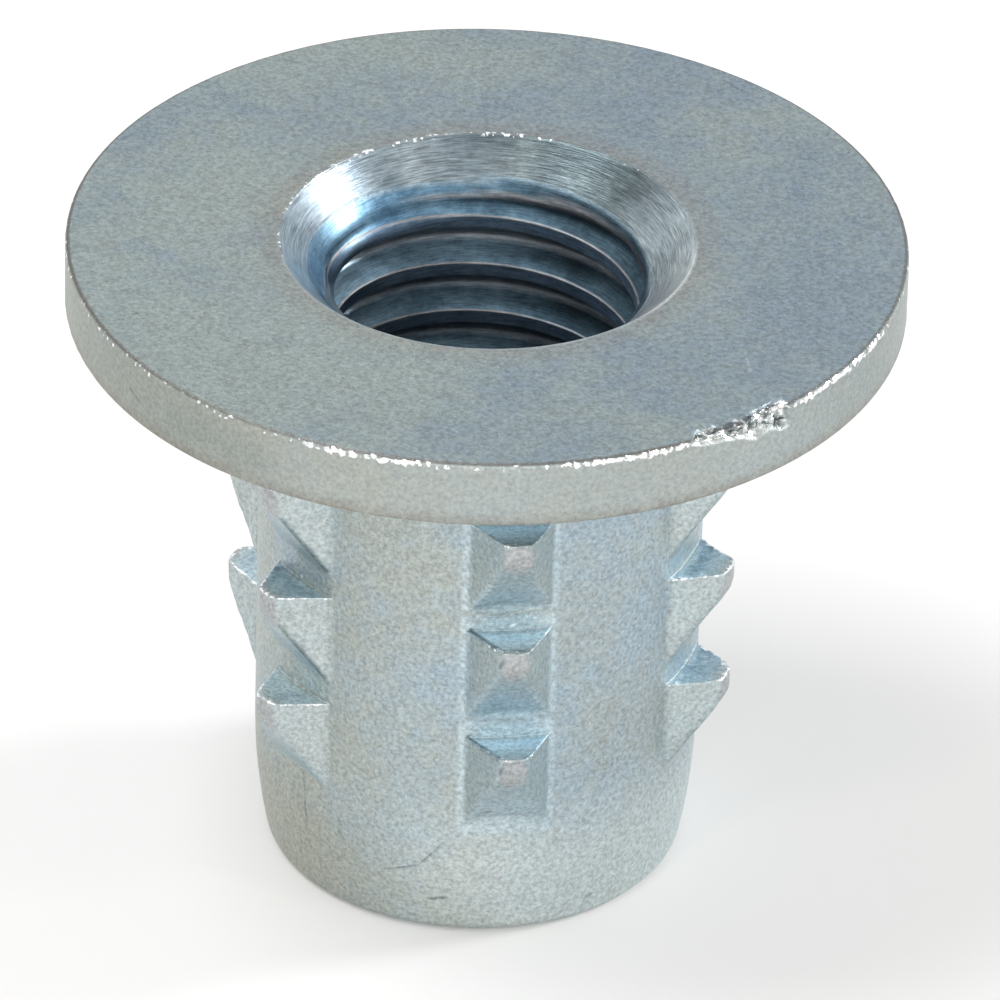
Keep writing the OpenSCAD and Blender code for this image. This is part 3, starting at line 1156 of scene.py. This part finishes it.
@dataclass(frozen=True)
class BarbColumns:
    """Six columns of three one-way barbs, raised from the barrel's side."""

    pitch_angle: float = math.tau / 6
    first_angle: float = -math.pi / 2
    rows: float = 3.0
    first_shelf: float = 11.17
    row_step: float = 2.84
    barrel_r: float = 5.025
    foot_r: float = 4.931
    nose_out: float = 6.055
    foot_w: float = 1.94
    nose_w: float = 0.62
    nose_h: float = 0.5
    length: float = 2.17
    shelf_zone: float = 0.05
    shelf_lift: float = 0.06
    ridge_r: float = 0.12
    nose_soft: float = 0.32
    shelf_soft: float = 0.3
    frame_w: float = 0.2
    frame_h: float = 0.014
    root_soft: float = 0.08
    reach: float = 0.3
    lift_l: float = 0.42
    spot_w: float = 0.33
    spot_h: float = 0.44
    spot_drop: float = 0.4
    seed: float = 3.0

    def tree(self, material: bpy.types.Material) -> Graph:
        """Builds the tree that raises the barbs and marks their faces."""
        g = Graph.of_geometry("barb_columns", sizes_of(self))
        place, parts, radius = g.whereabouts()

        # Where a point is on its own barb: across it, out from the axis, and down from the shelf
        azimuth = g.add(MATH, parts[Y], parts[X], operation="ARCTAN2")
        half_pitch = g.add(Sum.TIMES, g.size("pitch_angle"), 0.5)
        minus_half = g.add(Sum.TIMES, half_pitch, -1.0)
        turned = g.add(Sum.MINUS, azimuth, g.size("first_angle"))
        local = g.add(MATH, turned, half_pitch, minus_half, operation="WRAP")
        facing = g.add(Sum.MINUS, azimuth, local)
        across = g.add(Sum.TIMES, radius, g.add(MATH, local, operation="SINE"))
        outward = g.add(Sum.TIMES, radius, g.add(MATH, local, operation="COSINE"))
        drop = g.add(Sum.MINUS, g.size("first_shelf"), parts[Z])
        ranked = g.add(Sum.PLUS, drop, 0.5)
        ranked = g.add(Sum.OVER, ranked, g.size("row_step"))
        last = g.add(Sum.MINUS, g.size("rows"), 1.0)
        row = g.add(Sum.MOST, g.add(MATH, ranked, operation="FLOOR"), 0.0)
        row = g.add(Sum.LEAST, row, last)
        passed = g.add(Sum.TIMES, row, g.size("row_step"))
        down = g.add(Sum.MINUS, drop, passed)

        # A few hundredths of wander, different on each barb
        column = g.add(Sum.TIMES, facing, 5.0)
        number = g.add("ShaderNodeCombineXYZ", column, row, g.size("seed"))
        luck = g.add("ShaderNodeTexWhiteNoise", number, out="Color", noise_dimensions="3D")
        lucks = g.add("ShaderNodeSeparateXYZ", luck).node.outputs
        rough = g.add(NOISE, place, {"Scale": 1.6, "Detail": 2.0})
        ragged = g.add(RANGE, rough, *Fade.RAGGED.value)
        tilt = g.add(RANGE, lucks[1], *Fade.TILTED.value)
        shift = g.add(RANGE, lucks[0], *Fade.SHIFTED.value)
        across = g.add(Sum.PLUS, across, shift)

        # Planes of the barb, each as a distance out from the axis
        rise = g.add(Sum.MINUS, g.size("nose_out"), g.size("foot_r"))
        beside = g.add(MATH, across, operation="ABSOLUTE")
        half_w = g.add(Sum.OVER, g.size("foot_w"), 2.0)
        half_n = g.add(Sum.OVER, g.size("nose_w"), 2.0)
        nose_out, foot_r = g.size("nose_out"), g.size("foot_r")
        side = g.add(RANGE, beside, half_n, half_w, nose_out, foot_r, clamp=False)
        nose_end = g.add(Sum.PLUS, g.size("nose_h"), tilt)
        feeds = (down, nose_end, g.size("length"), nose_out, g.size("barrel_r"))
        slope = g.add(RANGE, *feeds, clamp=False)
        shelf = g.add(RANGE, down, 0.0, g.size("shelf_zone"), foot_r, nose_out, clamp=False)
        cap = g.add(Sum.PLUS, g.size("nose_out"), ragged)
        ridged = g.add(MATH, side, slope, g.size("ridge_r"), operation="SMOOTH_MIN")
        capped = g.add(MATH, ridged, cap, g.size("nose_soft"), operation="SMOOTH_MIN")
        barb = g.add(MATH, capped, shelf, g.size("shelf_soft"), operation="SMOOTH_MIN")

        # Upset frame round the foot
        past_side = g.add(Sum.MINUS, beside, half_w)
        past_top = g.add(Sum.TIMES, down, -1.0)
        past_low = g.add(Sum.MINUS, down, g.size("length"))
        past_end = g.add(Sum.MOST, past_top, past_low)
        past = g.add(Sum.MOST, past_side, past_end)
        frame = g.add(RANGE, past, g.size("frame_w"), 0.02, 0.0, 1.0, **SMOOTH)
        frame_out = g.add(Sum.TIMES, frame, g.size("frame_h"))

        raised = g.add(MATH, outward, barb, g.size("root_soft"), operation="SMOOTH_MAX")
        near = g.add(MATH, past, g.size("reach"), operation="LESS_THAN")
        growth = g.add(Sum.MINUS, raised, outward)
        growth = g.add(Sum.TIMES, growth, near)
        growth = g.add(Sum.PLUS, growth, frame_out)
        share = g.add(Sum.OVER, growth, rise)
        tip = g.add(RANGE, down, g.size("shelf_zone"), g.size("lift_l"), 1.0, 0.0, **SMOOTH)
        above = g.add(MATH, down, -0.02, operation="GREATER_THAN")
        height = g.add(Sum.PLUS, g.size("shelf_zone"), g.size("shelf_lift"))
        height = g.add(Sum.TIMES_PLUS, across, tilt, height)
        lift = g.add(Sum.TIMES, g.add(Sum.TIMES, share, tip), height)
        lift = g.add(Sum.TIMES, lift, above)
        east = g.add(Sum.TIMES, growth, g.add(MATH, facing, operation="COSINE"))
        north = g.add(Sum.TIMES, growth, g.add(MATH, facing, operation="SINE"))
        offset = g.add("ShaderNodeCombineXYZ", east, north, lift)
        offset = g.add(VECTOR_MATH, offset, {"Scale": MM}, operation="SCALE")

        # Only the barrel's straight side takes barbs
        on_barrel = g.add(MATH, radius, g.size("barrel_r"), 0.02, operation="COMPARE")
        low_enough = g.add(MATH, drop, -0.5, operation="GREATER_THAN")
        chosen = g.add(Sum.TIMES, on_barrel, low_enough)

        # The faces of a barb, which the finish tones apart
        stood = g.add(RANGE, growth, *Fade.STANDING.value)
        stood = g.add(Sum.TIMES, stood, chosen)
        on_shelf = g.add(RANGE, down, g.size("shelf_zone"), 0.02, 0.0, 1.0)
        inside_edge = g.add(Sum.MINUS, capped, shelf)
        on_upper = g.add(RANGE, inside_edge, *Fade.UPPER_EDGE.value)
        on_lower = g.add(RANGE, inside_edge, *Fade.LOWER_EDGE.value)
        by_edge = g.add(Sum.TIMES, on_upper, on_lower)
        flatness = g.add(Sum.MINUS, g.add(Sum.LEAST, side, cap), slope)
        wide = g.add(Sum.OVER, across, g.size("spot_w"))
        wide = g.add(MATH, wide, 2.0, operation="POWER")
        tall = g.add(Sum.MINUS, down, g.size("spot_drop"))
        tall = g.add(Sum.OVER, tall, g.size("spot_h"))
        tall = g.add(MATH, tall, 2.0, operation="POWER")
        spot = g.add(Sum.PLUS, wide, tall)
        spot = g.add(Sum.PLUS, spot, g.add(Sum.TIMES, ragged, 4.0))
        tip_spot = g.add(RANGE, spot, *Fade.NOSE_SPOT.value)
        below = g.add(RANGE, down, *Fade.UNDER_SHELF.value)
        tip_spot = g.add(Sum.TIMES, tip_spot, below)
        beside_strip = g.add(RANGE, past_side, *Fade.BESIDE_FOOT.value, **SMOOTH)
        between = g.add(RANGE, past_end, *Fade.BETWEEN_FEET.value, **SMOOTH)
        strip = g.add(Sum.TIMES, beside_strip, between)
        sloping = g.add(RANGE, flatness, *Fade.ON_SLOPE.value)
        sunk = g.add(RANGE, down, *Fade.LOW_ON_SLOPE.value)
        framed = g.add(Sum.MOST, frame, strip)
        marks = {
            Mark.SHELF: g.add(Sum.TIMES, on_shelf, stood),
            Mark.RIDGE: g.add(Sum.TIMES, by_edge, stood),
            Mark.SLOPE: g.add(Sum.TIMES, g.add(Sum.TIMES, sloping, sunk), stood),
            Mark.NOSE: g.add(Sum.TIMES, tip_spot, stood),
            Mark.FRAME: g.add(Sum.TIMES, framed, chosen),
            Mark.FACE: stood,
        }
        marked = g.mark(g.size("Geometry"), marks)
        feeds = {"Geometry": marked, "Selection": chosen, "Offset": offset}
        shaped = g.add("GeometryNodeSetPosition", feeds)
        g.close(shaped, material)
        return g


@dataclass(frozen=True)
class CrushedEdge:
    """A stretch of the flange's upper edge that was knocked against something hard."""

    azimuth: float = math.radians(-60.5)
    half_angle: float = math.radians(8.6)
    height: float = 15.45
    shallow: float = 0.2
    deep: float = 0.62
    dent: float = 0.26
    sag: float = 0.1
    lump_mm: float = 0.27
    inner_r: float = 9.12

    def tree(self, material: bpy.types.Material) -> Graph:
        """Builds the tree that presses lumps into the edge and marks them."""
        g = Graph.of_geometry("crushed_edge", sizes_of(self))
        place, parts, radius = g.whereabouts()
        angle = g.add(MATH, parts[Y], parts[X], operation="ARCTAN2")
        along = g.add(Sum.MINUS, angle, g.size("azimuth"))
        along = g.add(Sum.OVER, along, g.size("half_angle"))
        depth = g.add(Sum.MINUS, g.size("height"), parts[Z])

        # The band is ragged, and deepens from one end to the other
        fray = g.add(NOISE, place, {"Scale": 2.2, "Detail": 2.0})
        frayed = g.add(Sum.TIMES, fray, 0.3)
        ends = g.add(Sum.PLUS, g.add(MATH, along, operation="ABSOLUTE"), frayed)
        within = g.add(RANGE, ends, *Fade.KNOCK_ENDS.value, **SMOOTH)
        reach = g.add(RANGE, along, -1.0, 0.9, g.size("shallow"), g.size("deep"))
        reach = g.add(Sum.TIMES, reach, g.add(RANGE, fray, *Fade.KNOCK_FRAYED.value))
        under = g.add(Sum.MINUS, reach, depth)
        inset = g.add(RANGE, radius, g.size("inner_r"), 9.3, 0.0, 1.0, **SMOOTH)
        band = g.add(RANGE, under, *Fade.KNOCK_BAND.value, **SMOOTH)
        share = g.add(Sum.TIMES, g.add(Sum.TIMES, band, within), inset)

        # Lumps press it in, and down where it is near the top
        feeds = {"Vector": place, "Scale": g.add(Sum.OVER, 1.0, g.size("lump_mm"))}
        cells = g.add("ShaderNodeTexVoronoi", feeds, feature="SMOOTH_F1", out="Distance")
        fine = g.add(NOISE, place, {"Scale": 7.0, "Detail": 2.0})
        lump = g.add(Sum.PLUS, cells, g.add(Sum.TIMES, fine, 0.5))
        press = g.add(RANGE, lump, *Fade.LUMPS.value)
        pressed = g.add(Sum.TIMES, press, share)
        inward = g.add(Sum.TIMES, pressed, g.size("dent"))
        ratio = g.add(Sum.OVER, inward, radius)
        fall = g.add(Sum.TIMES, pressed, g.size("sag"))
        near_top = g.add(RANGE, depth, *Fade.NEAR_TOP.value)
        fall = g.add(Sum.TIMES, fall, near_top)
        shrink = g.add(Sum.TIMES, ratio, -1.0)
        east = g.add(Sum.TIMES, parts[X], shrink)
        north = g.add(Sum.TIMES, parts[Y], shrink)
        sunk = g.add(Sum.TIMES, fall, -1.0)
        pull = g.add("ShaderNodeCombineXYZ", east, north, sunk)
        offset = g.add(VECTOR_MATH, pull, {"Scale": MM}, operation="SCALE")
        feeds = {
            "Geometry": g.mark(g.size("Geometry"), {Mark.CRUSH: share}),
            "Selection": g.add(MATH, share, 0.001, operation="GREATER_THAN"),
            "Offset": offset,
        }
        shaped = g.add("GeometryNodeSetPosition", feeds)
        g.close(shaped, material)
        return g


@dataclass
class ThreadedInsert:
    """The whole insert, one piece."""

    name: str = "insert_body"
    skin: InsertSkin = field(default_factory=InsertSkin)
    thread: ThreadGroove = ThreadGroove()
    barbs: BarbColumns = BarbColumns()
    knock: CrushedEdge = CrushedEdge()
    finish: ZincPlatedSteel = ZincPlatedSteel()

    def build(self) -> bpy.types.Object:
        """Builds and dresses the insert and puts it in the place of its node.

        Returns:
            The finished piece.
        """
        material = self.finish.build()
        piece = self.skin.build(self.name)
        for form in (self.thread, self.barbs, self.knock):
            grow(piece, form.tree(material), sizes_of(form))
        settle(piece)
        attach(piece, BODY)
        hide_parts(NODE)
        faces = sum(len(face.vertices) - 2 for face in piece.data.polygons)
        LOG.info("%s: %d points, %d triangles", piece.name, len(piece.data.vertices), faces)
        return piece


@dataclass(frozen=True)
class Lamp:
    """A soft square lamp aimed at the insert."""

    name: str
    azimuth: float
    elevation: float
    distance: float
    side: float
    watts: float
    colour: str = "ffffff"

    def place(self, aim: Vector) -> None:
        """Adds the lamp to the scene."""
        data = bpy.data.lights.new(self.name, "AREA")
        data.size = self.side * MM
        data.energy = self.watts
        data.color = linear(self.colour)[:3]
        lamp = bpy.data.objects.new(self.name, data)
        a, e = math.radians(self.azimuth), math.radians(self.elevation)
        way = Vector((math.cos(a) * math.cos(e), math.sin(a) * math.cos(e), math.sin(e)))
        lamp.location = aim + way * self.distance * MM
        lamp.rotation_euler = way.to_track_quat("Z", "Y").to_euler()
        bpy.context.scene.collection.objects.link(lamp)


@dataclass(frozen=True)
class Studio:
    """Pale floor, white surround, soft lamps and the camera."""

    floor_half: float = 900.0
    floor_colour: str = "f0f0f0"
    floor_glow: float = 0.12
    surround: float = 0.6
    eye: tuple[float, float, float] = (-33.186, -226.098, 153.842)
    heading: float = 81.541
    tilt: float = 32.441
    roll: float = 1.524
    lens: float = 432.0
    sensor: float = 36.0
    lamps: tuple[Lamp, ...] = (
        Lamp("key", 8.0, 27.0, distance=260.0, side=54.0, watts=0.29),
        Lamp("overhead", 172.0, 66.0, distance=330.0, side=150.0, watts=0.56),
        Lamp("front", -96.0, 14.0, distance=330.0, side=200.0, watts=0.2),
        Lamp("left", -124.0, 50.0, distance=300.0, side=26.0, watts=0.05, colour="ffeed8"),
        Lamp("right", -40.0, 48.0, distance=300.0, side=26.0, watts=0.05, colour="ffeed8"),
    )

    def build(self) -> None:
        """Builds the set and takes the camera into use."""
        bpy.context.scene.view_settings.view_transform = "Standard"
        self.lay_floor()
        self.light_surround()
        for lamp in self.lamps:
            lamp.place(Vector((0.0, 0.0, 8.0)) * MM)
        self.stand_camera()
        LOG.info("studio: %d lamps", len(self.lamps))

    def _seen(self, g: Graph) -> bpy.types.NodeSocket:
        """Gives 1 for rays from the camera, a reflection or a clear material."""
        path = g.add("ShaderNodeLightPath").node.outputs
        some = g.add(Sum.MOST, path["Is Camera Ray"], path["Is Glossy Ray"])
        return g.add(Sum.MOST, some, path["Is Transmission Ray"])

    def lay_floor(self) -> None:
        """Lays a plain pale floor that keeps the insert's shadow."""
        half = self.floor_half * MM
        mesh = bpy.data.meshes.new("floor")
        corners = [(-half, -half, 0), (half, -half, 0), (half, half, 0), (-half, half, 0)]
        mesh.from_pydata(corners, [], [(0, 1, 2, 3)])
        floor = bpy.data.objects.new("floor", mesh)
        bpy.context.scene.collection.objects.link(floor)
        paper = bpy.data.materials.new("matt_white_paper")
        paper.use_nodes = True
        g = Graph(paper.node_tree)
        share = g.add(Sum.TIMES, self._seen(g), self.floor_glow)
        matt = g.add("ShaderNodeBsdfDiffuse", linear(self.floor_colour))
        glow = g.add("ShaderNodeEmission", WHITE, 1.0)
        g.add("ShaderNodeOutputMaterial", g.add("ShaderNodeMixShader", share, matt, glow))
        mesh.materials.append(paper)

    def light_surround(self) -> None:
        """Sets a white surround that lights more softly than it shows."""
        world = bpy.data.worlds.new("white_surround")
        world.use_nodes = True
        g = Graph(world.node_tree)
        strength = g.add(RANGE, self._seen(g), 0.0, 1.0, self.surround, 1.0)
        white = g.add("ShaderNodeBackground", WHITE, strength)
        g.add("ShaderNodeOutputWorld", white)
        bpy.context.scene.world = world

    def stand_camera(self) -> None:
        """Stands the camera at its height and angle."""
        heading, tilt, roll = (math.radians(v) for v in (self.heading, self.tilt, self.roll))
        ahead = Vector(
            (math.cos(heading) * math.cos(tilt), math.sin(heading) * math.cos(tilt), -math.sin(tilt))
        )
        right = Vector((math.sin(heading), -math.cos(heading), 0.0))
        up = right.cross(ahead)
        side = right * math.cos(roll) + up * math.sin(roll)
        top = up * math.cos(roll) - right * math.sin(roll)
        data = bpy.data.cameras.new("camera")
        data.lens = self.lens
        data.sensor_width = self.sensor
        data.clip_start = 0.01
        data.clip_end = 10.0
        camera = bpy.data.objects.new("camera", data)
        turn = Matrix((side, top, -ahead)).transposed().to_4x4()
        camera.matrix_world = Matrix.Translation(Vector(self.eye) * MM) @ turn
        bpy.context.scene.collection.objects.link(camera)
        bpy.context.scene.camera = camera


def main() -> None:
    """Builds the insert and the studio round it."""
    logging.basicConfig(level=logging.INFO, format="%(name)s: %(message)s")
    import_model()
    ThreadedInsert().build()
    Studio().build()


if __name__ == "__main__":
    main()
